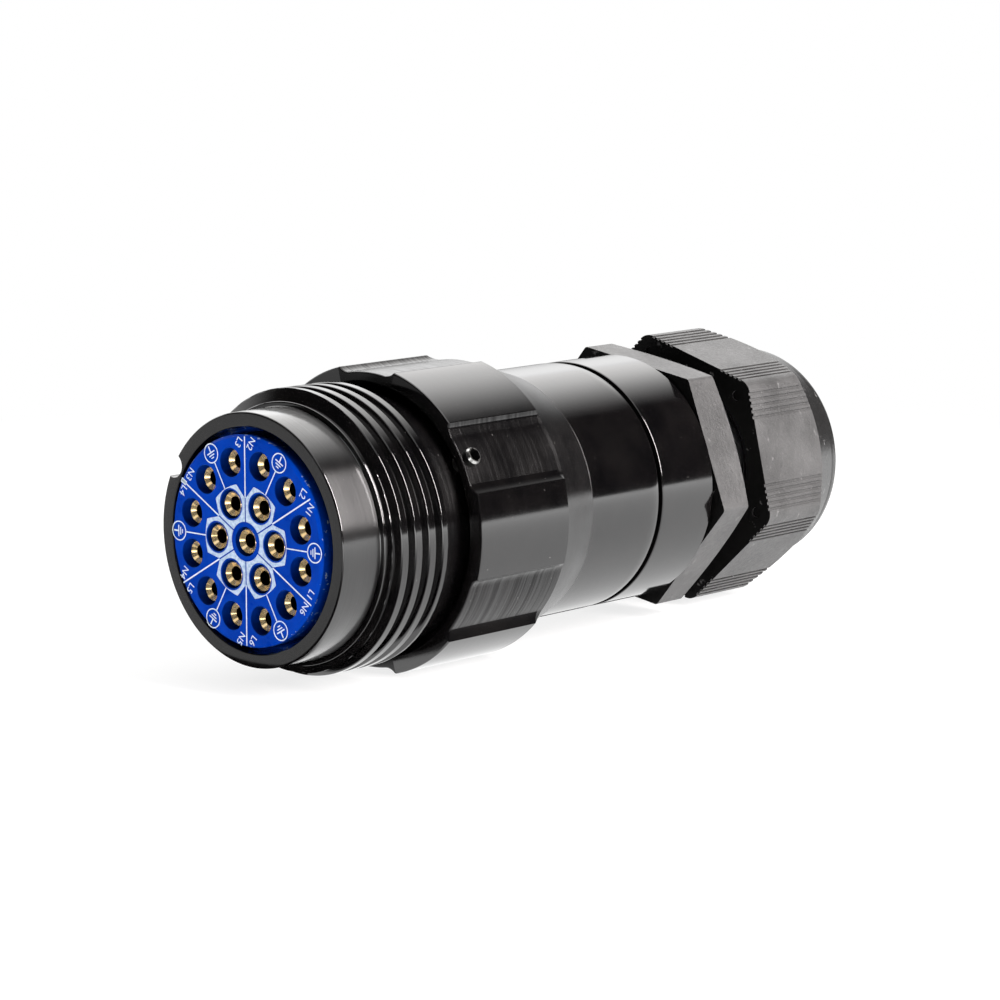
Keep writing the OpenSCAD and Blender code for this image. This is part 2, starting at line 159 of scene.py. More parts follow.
def make_shell(name, lines, rough, ior, drawn=0.0, coat=0.0, streaks=0.0):
    """Black anodised aluminium with turned lines, specks of dust and dull patches.
    drawn stretches its highlights along the axis, as fine lines round it do. coat lays a clear skin on it.
    streaks is how far its shine differs from line to line."""
    m, t, out = material(name)
    fine = noise(t, (25, 2400, 25), 2.0, 0.5)
    wide = noise(t, (40, 1500, 40), 2.0, 0.5)
    turned = add(t, "ShaderNodeMath", {0: fine, 1: wide}, operation="ADD").outputs[0]
    patches = noise(t, (140, 140, 140), 4.0)
    specks = noise(t, (2600, 2600, 2600), 2.0, 0.5)
    dust = spread(t, specks, 0.76, 0.80, 0.0, 1.0)
    base = blend(t, spread(t, patches, 0.35, 0.7, 0.0, 1.0),
                 (0.0016, 0.0015, 0.0017), (0.0040, 0.0036, 0.0036))
    color = blend(t, dust, base, (0.16, 0.155, 0.15))
    dull = spread(t, patches, 0.3, 0.7, rough * 0.85, rough * 1.2)
    shine = surface(color, dull, bump(t, turned, lines, 0.00008), t, out, IOR=ior, Anisotropic=drawn,
                    Coat_Weight=coat, Coat_Roughness=0.13, Coat_IOR=1.44)
    if streaks:
        level = spread(t, turned, 0.84, 1.16, 0.45 - streaks, 0.45 + streaks)
        t.links.new(level, shine.inputs["Specular IOR Level"])
    if drawn:
        shine.inputs["Anisotropic Rotation"].default_value = 0.25
        round_axis = add(t, "ShaderNodeTangent", direction_type="RADIAL", axis="Y")
        t.links.new(round_axis.outputs[0], shine.inputs["Tangent"])
    return m


def make_gland():
    """Moulded dark plastic with paler scuffs. Its flats are grained; its front ends and dome are smoother.
    Faces turned to the front are painted darker and shine less: painted shade.
    """
    m, t, out = material("grained_plastic")
    grain = noise(t, (1500, 1500, 1500), 5.0, 0.65)
    cloud = noise(t, (120, 120, 120), 3.0)
    scuffs = noise(t, (420, 900, 420), 3.0, 0.6)
    y = add(t, "ShaderNodeSeparateXYZ", {"Vector": add(t, "ShaderNodeTexCoord").outputs["Object"]}).outputs[1]
    normal = add(t, "ShaderNodeNewGeometry").outputs["True Normal"]
    facing = add(t, "ShaderNodeSeparateXYZ", {"Vector": normal}).outputs[1]
    dome = spread(t, y, 0.1241, 0.1247, 0.0, 1.0)
    # front picks the faces turned to -Y; they get a near-black base colour as painted shade
    front = spread(t, facing, -0.8, -0.5, 1.0, 0.0)
    flats = blend(t, spread(t, cloud, 0.3, 0.7, 0.0, 1.0), (0.026, 0.026, 0.026), (0.058, 0.058, 0.058))
    base = blend(t, dome, blend(t, front, flats, (0.006, 0.006, 0.006)), (0.014, 0.014, 0.014))
    color = blend(t, spread(t, scuffs, 0.66, 0.76, 0.0, 0.7), base, (0.20, 0.20, 0.20))
    smoother = add(t, "ShaderNodeMath", {0: dome, 1: front}, operation="MAXIMUM").outputs[0]
    grained = spread(t, grain, 0.3, 0.7, 0.40, 0.54)
    rough = add(t, "ShaderNodeMix", {0: smoother, 2: grained, 3: 0.26}, data_type="FLOAT").outputs[0]
    height = times(t, grain, spread(t, smoother, 0.0, 1.0, 1.0, 0.2))
    shine = surface(color, rough, bump(t, height, 0.6, 0.00016), t, out, IOR=1.6)
    # The weaker shine on the front faces is painted shade; the dome shines a little less
    level = times(t, spread(t, front, 0.0, 1.0, 0.5, 0.06), spread(t, dome, 0.0, 1.0, 1.0, 0.6))
    t.links.new(level, shine.inputs["Specular IOR Level"])
    return m


def make_rubber():
    m, t, out = material("black_rubber")
    cloud = noise(t, (700, 700, 700), 4.0)
    color = blend(t, spread(t, cloud, 0.3, 0.7, 0.0, 1.0), (0.010, 0.010, 0.010), (0.020, 0.020, 0.019))
    surface(color, spread(t, cloud, 0.3, 0.7, 0.5, 0.65), bump(t, cloud, 0.2, 0.00005), t, out)
    return m


def make_insulator(name, low, high, worn):
    """Moulded blue insulator, a little paler in patches, with chips along its front edge."""
    m, t, out = material(name)
    cloud = noise(t, (260, 260, 260), 4.0)
    chips = noise(t, (900, 900, 900), 4.0, 0.6)
    c = add(t, "ShaderNodeTexCoord")
    xyz = add(t, "ShaderNodeSeparateXYZ", {"Vector": c.outputs["Object"]})
    flat = add(t, "ShaderNodeCombineXYZ", {"X": xyz.outputs[0], "Z": xyz.outputs[2]})
    r = add(t, "ShaderNodeVectorMath", {0: flat.outputs[0]}, operation="LENGTH").outputs["Value"]
    edge = spread(t, r, 0.0168, 0.0174, 0.0, 0.16)
    worn_here = add(t, "ShaderNodeMath", {0: chips, 1: edge}, operation="ADD").outputs[0]
    base = blend(t, spread(t, cloud, 0.3, 0.7, 0.0, 1.0), low, high)
    color = blend(t, spread(t, worn_here, 0.76, 0.82, 0.0, 0.8), base, worn)
    surface(color, spread(t, cloud, 0.3, 0.7, 0.26, 0.36), bump(t, chips, 0.06, 0.00003), t, out,
            Specular_IOR_Level=0.02)
    return m


def make_metal(name, low, high, rough_low, rough_high, metallic=1.0):
    m, t, out = material(name)
    turned = noise(t, (120, 2400, 120), 2.0, 0.5)
    cloud = noise(t, (500, 500, 500), 3.0)
    color = blend(t, spread(t, cloud, 0.3, 0.7, 0.0, 1.0), low, high)
    surface(color, spread(t, turned, 0.3, 0.7, rough_low, rough_high), bump(t, turned, 0.03, 0.00002),
            t, out, Metallic=metallic)
    return m


def make_paint(name, low, high, rough):
    m, t, out = material(name)
    cloud = noise(t, (1800, 1800, 1800), 3.0)
    color = blend(t, spread(t, cloud, 0.3, 0.7, 0.0, 1.0), low, high)
    surface(color, spread(t, cloud, 0.3, 0.7, rough, rough + 0.12), bump(t, cloud, 0.05, 0.00002), t, out)
    return m


SHELL = make_shell("anodised_black", 0.05, 0.10, 1.72)
BRUSHED = make_shell("anodised_brushed", 0.30, 0.32, 1.54, 0.95, 1.0)
MILLED = make_shell("anodised_milled", 0.45, 0.15, 1.42, 0.95, streaks=0.2)
TAPER = make_shell("anodised_taper", 0.10, 0.20, 1.50, 0.95)
# A copy of the black anodising that hardly reflects, used as painted shade: on one wall of each grip pocket,
# on the barrel's end and on the adapter's front edge
SHADE_ANODISED = make_shell("anodised_painted_shade", 0.05, 0.20, 1.08)
# A brighter copy of the black anodising for the narrow ring at the taper's start: painted highlight
HIGHLIGHT_ANODISED = make_shell("anodised_bevel_highlight", 0.10, 0.34, 1.80, 0.95)
GLAND = make_gland()
RUBBER = make_rubber()
INSERT = make_insulator("blue_insulator", (0.0, 0.021, 0.20), (0.0004, 0.030, 0.26), (0.26, 0.32, 0.42))
PLATE = make_insulator("dark_insulator", (0.0, 0.02, 0.20), (0.0, 0.03, 0.26), (0.2, 0.24, 0.3))
GOLD = make_metal("gold_plate", (0.98, 0.70, 0.34), (1.0, 0.78, 0.44), 0.12, 0.17, 0.80)
# Darker gold for the faces inside the contact sockets, as painted shade
SOCKET_SHADE_GOLD = make_metal("gold_socket_shade", (0.16, 0.09, 0.03), (0.30, 0.18, 0.07), 0.25, 0.40)
STEEL = make_metal("plain_steel", (0.50, 0.50, 0.49), (0.62, 0.62, 0.60), 0.22, 0.36)
SOCKET = make_metal("dark_steel", (0.05, 0.05, 0.05), (0.09, 0.09, 0.085), 0.30, 0.45)
WHITE = make_paint("white_print", (0.36, 0.42, 0.50), (0.48, 0.53, 0.60), 0.5)
FRAME = make_paint("pale_print", (0.17, 0.25, 0.37), (0.40, 0.47, 0.56), 0.5)
SLIP = make_paint("white_plastic", (0.74, 0.74, 0.71), (0.82, 0.82, 0.80), 0.35)

for name, o in nodes.items():
    if name.startswith("contact_") and name not in ("contact_insert", "contact_plate"):
        skin = GOLD
    else:
        skin = {"contact_insert": INSERT, "contact_plate": PLATE, "retaining_ring": STEEL, "set_screw": STEEL,
                "joint_seal": RUBBER, "gland_washer": RUBBER, "gland_seal": RUBBER, "gland_body": GLAND,
                "gland_nut": GLAND, "slip_ring": SLIP}.get(name, SHELL)
    o.data.materials.clear()
    o.data.materials.append(skin)
    # Faces inside a contact's socket take the darker gold: painted shade
    if skin is GOLD:
        o.data.materials.append(SOCKET_SHADE_GOLD)
        spots = [v.co for v in o.data.vertices]
        mid = [(min(c[i] for c in spots) + max(c[i] for c in spots)) / 2 for i in (0, 2)]
        for f in o.data.polygons:
            if math.hypot(f.center.x - mid[0], f.center.z - mid[1]) < SOCKET_SHADE_R * MM:
                f.material_index = 1


# Mesh helpers

def polar(r, a, y):
    return Vector((r * math.cos(a), y, r * math.sin(a))) * MM


def round_edge(r, y, size, steps):
    """Radii and heights along a quarter circle, from the flat face at y out to the radius r."""
    turns = [math.radians(90 * i / steps) for i in range(steps + 1)]
    return [(r - size + size * math.sin(s), y + size - size * math.cos(s)) for s in turns]


def ring_mesh(name, rings, crease, skins, which, stands_for, helix=None):
    """Joins rings of equal length, each to the next and the last to the first, into one closed skin.
    helix gives the first and last ring of a thread and how many rings it climbs in a turn."""
    bm = bmesh.new()
    verts = [[bm.verts.new(p) for p in ring] for ring in rings]
    count = len(rings[0])
    for i in range(len(rings)):
        n = (i + 1) % len(rings)
        for j in range(count - 1):
            bm.faces.new((verts[i][j], verts[i][j + 1], verts[n][j + 1], verts[n][j]))
        a, b = i, n
        if helix and helix[0] <= i < helix[1]:
            a, b = max(i - helix[2], helix[0]), max(n - helix[2], helix[0])
        corners = [verts[i][-1], verts[a][0], verts[b][0], verts[n][-1]]
        bm.faces.new(corners if a != b else corners[:2] + corners[3:])
    bmesh.ops.remove_doubles(bm, verts=bm.verts, dist=2e-7)
    bmesh.ops.dissolve_degenerate(bm, edges=bm.edges, dist=1e-7)
    bmesh.ops.recalc_face_normals(bm, faces=bm.faces)
    return finish_mesh(name, bm, crease, skins, which, stands_for)


def finish_mesh(name, bm, crease, skins, which, stands_for=()):
    """which gives the number of a face's finish from the radius, height and angle of its middle."""
    for f in bm.faces:
        c = f.calc_center_median() / MM
        f.material_index = which(math.hypot(c.x, c.z), c.y, math.degrees(math.atan2(c.z, c.x)))
    mesh = bpy.data.meshes.new(name)
    bm.to_mesh(mesh)
    bm.free()
    mesh.shade_smooth()
    mesh.set_sharp_from_angle(angle=math.radians(crease))
    o = bpy.data.objects.new(name, mesh)
    scene.collection.objects.link(o)
    for skin in skins:
        mesh.materials.append(skin)
    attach(o, "connector")
    if stands_for:
        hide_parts(*stands_for)
    return o


# Front shell with its key notch and the real helix of the coupling thread

def notch_r(a):
    """How far out the collar reaches at this angle beside the half-round key notch."""
    d = (math.degrees(a) - KEY_ANGLE + 180) % 360 - 180
    s = COLLAR_R * math.sin(math.radians(d))
    if abs(d) > 30 or abs(s) >= NOTCH_R:
        return math.inf
    return COLLAR_R * math.cos(math.radians(d)) - math.sqrt(NOTCH_R ** 2 - s * s)


def groove_r(y, a):
    """Radius of the thread at this height and angle; its crest edges are rounded, most at the front."""
    u = (y - GROOVE_Y + PITCH * a / (2 * math.pi)) % PITCH
    k = CREST_FRONT if u < PITCH / 2 else CREST_REAR
    u = min(u, PITCH - u)
    slope = (CREST_R - ROOT_R) / (GROOVE_TOP - GROOVE_ROOT)
    r = ROOT_R + slope * (u - GROOVE_ROOT)
    if r > CREST_R + k:
        return CREST_R
    if r > CREST_R - k:
        return r - (r - CREST_R + k) ** 2 / (4 * k)
    return max(r, ROOT_R)


def front_shell():
    edge = math.degrees(math.asin(NOTCH_R / COLLAR_R))
    turn = {round(i * 1.25, 4) for i in range(288)}
    turn |= {round(KEY_ANGLE + edge * math.sin(math.radians(s)), 4) for s in range(-90, 91, 9)}
    turn |= {KEY_ANGLE - edge - 0.02, KEY_ANGLE + edge + 0.02}
    angles = [math.radians(a) for a in sorted(turn)]

    def plain(r, y, cut=False):
        return [polar(min(r, notch_r(a)) if cut else r, a, y) for a in angles]

    rings = [plain(SHELL_BORE, RECESS_Y), plain(RECESS_R, RECESS_Y), plain(RECESS_R, RIM_BEVEL),
             plain(RECESS_R + 0.08, 0.08), plain(RECESS_R + RIM_BEVEL, 0.0)]
    rings += [plain(r, y, True) for r, y in round_edge(COLLAR_R, 0.0, RIM_ROUND, 6)]
    rings += [plain(COLLAR_R, NOTCH_LEN, True), plain(COLLAR_R, NOTCH_LEN),
              plain(COLLAR_R, STEP_Y - STEP_CORNER), plain(COLLAR_R + STEP_CORNER, STEP_Y)]
    rings += [plain(r, y) for r, y in round_edge(SHOULDER_R, STEP_Y, SHOULDER_ROUND, 6)]
    rings.append(plain(SHOULDER_R, SHOULDER_END))

    def limit(y):
        """How far out the thread reaches at this height, between the slopes at its two ends."""
        r = SHOULDER_R + (y - SHOULDER_END) * FIRST_SLOPE
        return min(r, CREST_R, CREST_R - LAST_SLOPE * (y - THREAD_END + LAST_LEN))

    steps = 40
    start = SHOULDER_END - 1.02 * PITCH
    first = len(rings)
    for i in range(math.ceil(steps * (THREAD_END - start) / PITCH) + steps + 1):
        ring = []
        for a in angles:
            y = start + PITCH * (i / steps + 1 - a / (2 * math.pi))
            y = min(max(y, SHOULDER_END), THREAD_END)
            ring.append(polar(min(groove_r(y, a), limit(y)), a, y))
        rings.append(ring)
    helix = (first, len(rings) - 1, steps)
    rings += [plain(RELIEF_R, THREAD_END), plain(RELIEF_R, SPIGOT_END - LEAD_IN),
              plain(RELIEF_R - LEAD_IN, SPIGOT_END), plain(SHELL_BORE, SPIGOT_END),
              plain(SHELL_BORE, RING_END), plain(SHELL_BORE + RING_DEPTH, RING_END),
              plain(SHELL_BORE + RING_DEPTH, RING_Y), plain(SHELL_BORE, RING_Y)]

    def finish(r, y, _):
        if RIM_ROUND < y < STEP_Y - STEP_CORNER and r > COLLAR_R - 0.05:
            return 1
        return 2 if y > THREAD_END else 0

    return ring_mesh("front_shell_turned", rings, 24, (SHELL, BRUSHED, MILLED), finish,
                     ("front_shell",), helix)


front_shell()


# Grip sleeve with its pockets, the taper and the barrel

def grip_outline():
    """Angle and radius round one sixth of the grip: half a pad, a pocket and half a pad."""
    half = math.sqrt(POCKET_R ** 2 - (POCKET_R - (GRIP_R - FLOOR_R)) ** 2)
    edge = math.radians(POCKET_SPAN / 2)
    side = edge - math.asin(half / GRIP_R)
    mid = FLOOR_R + POCKET_R
    right = [(side * i / 8, FLOOR_R) for i in range(9)]
    for i in range(1, 12):
        d = (edge - side) * (i / 12) * 0.995
        right.append((side + d, mid * math.cos(d) - math.sqrt(POCKET_R ** 2 - (mid * math.sin(d)) ** 2)))
    a, r = right[-1]
    tip = math.radians(0.10)
    for i in range(1, 7):
        s = i / 6
        right.append((a + (edge + tip - a) * s, r + (GRIP_R - r) * (1 - (1 - s) ** 2)))
    start, rest = right[-1][0], math.radians(30) - right[-1][0]
    right.append((start + tip, GRIP_R))
    right += [(start + rest * i / 9, GRIP_R) for i in range(1, 10)]
    left = [(-a, r) for a, r in reversed(right[1:-1])]
    return left + right


def backshell():
    outline = []
    for k in range(6):
        outline += [(math.radians(30 + 60 * k) + a, r) for a, r in grip_outline()]
    socket_r = RELIEF_R + FIT
    mouth = socket_r + MOUTH_BEVEL

    def plain(r, y):
        return [polar(r, a, y) for a, _ in outline]

    def top(y):
        """Radius at this height where no pocket is cut."""
        if y <= GRIP_END:
            return GRIP_R
        if y <= FLOOR_END:
            return GRIP_R - (GRIP_R - FLOOR_R) * (y - GRIP_END) / (FLOOR_END - GRIP_END)
        if y <= TAPER_Y:
            return FLOOR_R - (FLOOR_R - BARREL_R) * (y - FLOOR_END) / (TAPER_Y - FLOOR_END)
        return BARREL_R

    rings = [plain(BARREL_BORE, SEAT_Y), plain(socket_r, SEAT_Y), plain(socket_r, GRIP_Y + MOUTH_BEVEL),
             plain(mouth - 0.08, GRIP_Y + 0.1), plain(mouth + 0.08, GRIP_Y)]
    rings.append([polar(r - RIM_BEVEL, a, GRIP_Y) for a, r in outline])
    rings.append([polar(r - 0.08, a, GRIP_Y + 0.08) for a, r in outline])
    # Rings close beside each bend keep the shade of the long faces even
    heights = [GRIP_Y + RIM_BEVEL, 34.0, 41.0, GRIP_END - 0.12]
    heights += [GRIP_END + (FLOOR_END - GRIP_END) * i / 12 for i in range(13)]
    heights += [FLOOR_END + 0.1, FLOOR_END + 0.3, 54.0]
    heights += [TAPER_Y + d for d in (-0.3, -0.1, 0.1, 0.3)]
    heights += [68.0, JOINT_Y - END_LEN - 0.2]
    for y in heights:
        rings.append([polar(min(r, top(y)), a, y) for a, r in outline])
    for i in range(15):
        s = math.radians(90 * i / 14)
        rings.append(plain(BARREL_R - END_DROP * (1 - math.cos(s)), JOINT_Y - END_LEN * (1 - math.sin(s))))
    rings += [plain(BARREL_BORE + JOINT_BEVEL, JOINT_Y), plain(BARREL_BORE, JOINT_Y - JOINT_BEVEL)]

    def finish(r, y, a):
        # Finish 3 is painted shade: on one wall of each pocket and on the barrel's end at the joint
        d = a % 60 - 30
        if abs(d) < POCKET_SPAN / 2 + 0.15 and y < GRIP_END + 0.3:
            return 3 if d < 0 and r > FLOOR_R + 0.02 and y < GRIP_END else 1
        # The ring at the taper's start takes the brighter finish 4: painted highlight
        if abs(y - TAPER_Y) < 0.05:
            return 4
        if GRIP_END < y < TAPER_Y:
            return 2
        return 3 if y > JOINT_Y - END_SHADE_LEN else 0

    return ring_mesh("grip_sleeve", rings, 11, (SHELL, MILLED, TAPER, SHADE_ANODISED, HIGHLIGHT_ANODISED), finish,
                     ("backshell",))


backshell()


# Adapter behind the joint, with a rounded front edge

def adapter():
    angles = [math.radians(1.5 * i) for i in range(240)]

    def plain(r, y):
        return [polar(r, a, y) for a in angles]

    rings = [plain(PASSAGE_R, SPIGOT_Y), plain(SPIGOT_R - EDGE_BEVEL, SPIGOT_Y),
             plain(SPIGOT_R, SPIGOT_Y + EDGE_BEVEL), plain(SPIGOT_R, ADAPTER_Y)]
    rings += [plain(r, y) for r, y in round_edge(BARREL_R, ADAPTER_Y, ADAPTER_ROUND, 8)]
    rings += [plain(BARREL_R, ADAPTER_Y + 0.5), plain(BARREL_R, ADAPTER_END - RIM_BEVEL),
              plain(BARREL_R - RIM_BEVEL, ADAPTER_END), plain(GLAND_BORE + RIM_BEVEL, ADAPTER_END),
              plain(GLAND_BORE, ADAPTER_END - RIM_BEVEL), plain(GLAND_BORE, BORE_Y), plain(PASSAGE_R, BORE_Y)]

    def finish(r, y, _):
        # Finish 1 on the adapter's front face and edge is painted shade
        return 1 if y < ADAPTER_Y + 0.1 else 0

    return ring_mesh("adapter_turned", rings, 24, (SHELL, SHADE_ANODISED), finish, ("gland_adapter",))


adapter()


# Print on the insert face: frames, sector lines, earth signs and contact marks

PRINT_LIFT = 0.03
FRAME_HOLE, FRAME_IN, FRAME_OUT, FRAME_GAP = 2.66, 3.24, 9.38, 0.12
FRAME_CORNERS = ((6.25, 3.47), (8.95, 2.82))
FRAME_END = 9.3
SIGN_AT = 15.75
MARK_AT, MARK_HEIGHT, MARK_TURN, KEY_MARK_TURN = 16.2, 1.3, 5.0, 6.8


class Print:
    def __init__(self):
        self.bm = bmesh.new()

    def face(self, points):
        y = INSERT_FACE - PRINT_LIFT
        self.bm.faces.new([self.bm.verts.new(Vector((x, y, z)) * MM) for x, z in points])

    def line(self, p, q, width):
        d = Vector((q[0] - p[0], q[1] - p[1])).normalized() * width / 2
        n = (-d.y, d.x)
        self.face([(p[0] + n[0], p[1] + n[1]), (q[0] + n[0], q[1] + n[1]),
                   (q[0] - n[0], q[1] - n[1]), (p[0] - n[0], p[1] - n[1])])

    def spoke(self, angle, r0, r1, width):
        c, s = math.cos(math.radians(angle)), math.sin(math.radians(angle))
        self.line((r0 * c, r0 * s), (r1 * c, r1 * s), width)

    def band(self, inner, outer):
        for i in range(len(inner)):
            j = (i + 1) % len(inner)
            self.face([inner[i], outer[i], outer[j], inner[j]])


def around(x, z, r, count):
    return [(x + r * math.cos(2 * math.pi * i / count), z + r * math.sin(2 * math.pi * i / count))
            for i in range(count)]


def frame_edge(d):
    """Distance from an inner contact to the edge of its white frame; d is measured from straight out."""
    u, v = math.cos(d), abs(math.sin(d))
    half = math.radians(30)
    found = []
    side = u * math.sin(half) - v * math.cos(half)
    if side < 0:
        found.append((INNER_R * math.sin(half) - FRAME_GAP) / -side)
    (u1, v1), (u2, v2) = FRAME_CORNERS
    n = (v1 - v2, u2 - u1)
    if u * n[0] + v * n[1] > 0:
        found.append(((u1 - INNER_R) * n[0] + v1 * n[1]) / (u * n[0] + v * n[1]))
    found.append(-INNER_R * u + math.sqrt(FRAME_OUT ** 2 - (INNER_R * v) ** 2))
    hits = FRAME_IN ** 2 - (INNER_R * v) ** 2
    if u < 0 and hits > 0:
        found.append(-INNER_R * u - math.sqrt(hits))
    return min(found)


def label(ink, body, angle, radius, height):
    """One mark, read along -120 degrees as all of them are."""
    curve = bpy.data.curves.new("mark", "FONT")
    curve.body = body
    curve.size = height / 0.72
    curve.align_x = "CENTER"
    curve.align_y = "CENTER"
    o = bpy.data.objects.new("mark", curve)
    scene.collection.objects.link(o)
    mesh = bpy.data.meshes.new_from_object(o.evaluated_get(bpy.context.evaluated_depsgraph_get()))
    cx, cz = radius * math.cos(math.radians(angle)), radius * math.sin(math.radians(angle))
    right = (math.cos(math.radians(-120)), math.sin(math.radians(-120)))
    up = (math.cos(math.radians(-30)), math.sin(math.radians(-30)))
    for f in mesh.polygons:
        points = []
        for i in f.vertices:
            p = mesh.vertices[i].co
            points.append((cx + p.x * right[0] + p.y * up[0], cz + p.x * right[1] + p.y * up[1]))
        ink.face(points)
    bpy.data.objects.remove(o)
    bpy.data.curves.remove(curve)
    bpy.data.meshes.remove(mesh)


def face_print():
    ink = Print()
    for k in range(6):
        a = math.radians(60 * k)
        x, z = INNER_R * math.cos(a), INNER_R * math.sin(a)
        hole, edge = [], []
        for i in range(180):
            d = math.radians(2 * i)
            for points, r in ((hole, FRAME_HOLE), (edge, frame_edge(d))):
                points.append((x + r * math.cos(a + d), z + r * math.sin(a + d)))
        ink.band(hole, edge)
        ink.spoke(60 * k, FRAME_END, 14.2, 0.20)
        ink.spoke(60 * k + 30, 7.15, 17.2, 0.24)
    return ink


ink = face_print()
for k in range(6):
    a = math.radians(60 * k)
    out = (math.cos(a), math.sin(a))
    side = (-math.sin(a), math.cos(a))

    def spot(u, v):
        return ((SIGN_AT + u) * out[0] + v * side[0], (SIGN_AT + u) * out[1] + v * side[1])

    ink.band(around(*spot(0, 0), 1.47, 40), around(*spot(0, 0), 1.66, 40))
    ink.line(spot(1.25, 0), spot(0.10, 0), 0.24)
    ink.line(spot(0.10, 0.95), spot(0.10, -0.95), 0.22)
    ink.line(spot(-0.36, 0.64), spot(-0.36, -0.64), 0.20)
    ink.line(spot(-0.80, 0.34), spot(-0.80, -0.34), 0.18)
for k in range(6):
    angle = 60 * k + 30
    back = KEY_MARK_TURN if angle == KEY_ANGLE else MARK_TURN
    label(ink, f"N{k + 1}", angle - back, MARK_AT, MARK_HEIGHT)
    label(ink, f"L{(k + 1) % 6 + 1}", angle + MARK_TURN, MARK_AT, MARK_HEIGHT)
ink.spoke(KEY_ANGLE, 16.05, 17.3, 0.78)
bmesh.ops.recalc_face_normals(ink.bm, faces=ink.bm.faces)
finish_mesh("face_print", ink.bm, 30, (WHITE, FRAME), lambda r, y, a: 1 if r < FRAME_END else 0)


# The set screw is dark steel, and only the bevel round its end shines: that bevel is given bright steel as a
# painted highlight
screw = nodes["set_screw"].data
screw.materials.append(SOCKET)
axis = polar(1.0 / MM, math.radians(30), 0)
for f in screw.polygons:
    f.material_index = 0 if 0.3 < f.normal.dot(axis) < 0.9 else 1

# Smooth shading on the nodes that stay as built
for name, o in nodes.items():
    if name not in ("front_shell", "backshell", "gland_adapter"):
        o.data.shade_smooth()
        o.data.set_sharp_from_angle(angle=math.radians(22))


# Stage, in metres: floor, dark surround, soft light from above, cards and lamps

FLOOR_Z = cad_box[0].z
MIDDLE_Y = 0.07
WALL_R, WALL_TOP, WALL_SIDES = 1.7, 0.84, 96
DARK_Y = 0.0095


def stage_plane(name, centre, size, skin, look_at=None):
    bm = bmesh.new()
    w, h = size[0] / 2, size[1] / 2
    bm.faces.new([bm.verts.new(p) for p in ((-w, -h, 0), (w, -h, 0), (w, h, 0), (-w, h, 0))])
    mesh = bpy.data.meshes.new(name)
    bm.to_mesh(mesh)
    bm.free()
    o = bpy.data.objects.new(name, mesh)
    scene.collection.objects.link(o)
    o.location = centre
    if look_at is not None:
        o.rotation_euler = (Vector(look_at) - Vector(centre)).to_track_quat("Z", "Y").to_euler()
    mesh.materials.append(skin)
    return o


def hide_from(o, *rays):
    for ray in rays:
        setattr(o, "visible_" + ray, False)


def seen_directly(tree):
    """One for camera, mirror and glass rays, and zero for the light that falls on things."""
    path = add(tree, "ShaderNodeLightPath")
    a = add(tree, "ShaderNodeMath", {0: path.outputs["Is Camera Ray"], 1: path.outputs["Is Glossy Ray"]},
            operation="MAXIMUM")
    return add(tree, "ShaderNodeMath", {0: a.outputs[0], 1: path.outputs["Is Transmission Ray"]},
               operation="MAXIMUM").outputs[0]


def from_point(tree, point):
    """Object coordinates counted from this point."""
    c = add(tree, "ShaderNodeTexCoord").outputs["Object"]
    return add(tree, "ShaderNodeVectorMath", {0: c, 1: point}, operation="SUBTRACT").outputs[0]


def length(tree, vector):
    return add(tree, "ShaderNodeVectorMath", {0: vector}, operation="LENGTH").outputs["Value"]


def make_floor():
    """Pale paint that carries the light, seen nearly white with a faint shadow."""
    m, t, out = material("pale_floor")
    cloud = noise(t, (60, 60, 60), 2.0)
    pale = blend(t, cloud, (0.80, 0.80, 0.80), (0.84, 0.84, 0.84))
    paint = add(t, "ShaderNodeBsdfDiffuse", {"Color": pale})
    thin = add(t, "ShaderNodeBsdfDiffuse", {"Color": (0.24, 0.24, 0.24, 1)})
    near = add(t, "ShaderNodeEmission", {"Color": (1, 1, 1, 1), "Strength": 0.80})
    far = add(t, "ShaderNodeEmission", {"Color": (1, 1, 1, 1), "Strength": 1.0})
    lit = add(t, "ShaderNodeAddShader", {0: thin.outputs[0], 1: near.outputs[0]})
    edge = spread(t, length(t, from_point(t, (0.0, 0.067, 0.0))), 0.10, 0.30, 0.0, 1.0)
    seen = add(t, "ShaderNodeMixShader", {0: edge, 1: lit.outputs[0], 2: far.outputs[0]})
    both = add(t, "ShaderNodeMixShader", {0: seen_directly(t), 1: paint.outputs[0], 2: seen.outputs[0]})
    t.links.new(both.outputs[0], out.inputs[0])
    return m


def glow(tree, out, strength, color=(1, 1, 1)):
    e = add(tree, "ShaderNodeEmission", {"Color": (*color, 1), "Strength": strength})
    tree.links.new(e.outputs[0], out.inputs[0])


def make_softbox():
    """Bright over the left and rear of the connector, with a slanted soft edge towards its right."""
    m, t, out = material("softbox")
    c = add(t, "ShaderNodeTexCoord").outputs["Object"]
    xyz = add(t, "ShaderNodeSeparateXYZ", {"Vector": c})
    across = add(t, "ShaderNodeVectorMath", {0: c, 1: (-0.902, -0.433, 0.0)},
                 operation="DOT_PRODUCT").outputs["Value"]
    from_edge = add(t, "ShaderNodeMath", {0: across, 1: 0.415}, operation="ADD").outputs[0]
    level = times(t, smooth(t, from_edge, -0.26, 0.40, 2.7), smooth(t, xyz.outputs[1], -0.25, -0.05))
    level = times(t, level, smooth(t, xyz.outputs[0], -1.5, -1.3))
    glow(t, out, level, (1.0, 0.99, 0.98))
    return m


def make_surround():
    """Dark cloth all round, with a bright sheet in its rear left part."""
    m, t, out = material("surround")
    xyz = add(t, "ShaderNodeSeparateXYZ", {"Vector": from_point(t, (0.0, MIDDLE_Y, 0.0))})
    turn = add(t, "ShaderNodeMath", {0: xyz.outputs[0], 1: xyz.outputs[1]}, operation="ARCTAN2").outputs[0]
    level = times(t, smooth(t, turn, math.radians(-5), math.radians(-40)),
                  smooth(t, turn, math.radians(-125), math.radians(-95)))
    level = times(t, level, spread(t, xyz.outputs[2], 0.10, 0.70, 0.9, 2.8))
    glow(t, out, level)
    return m


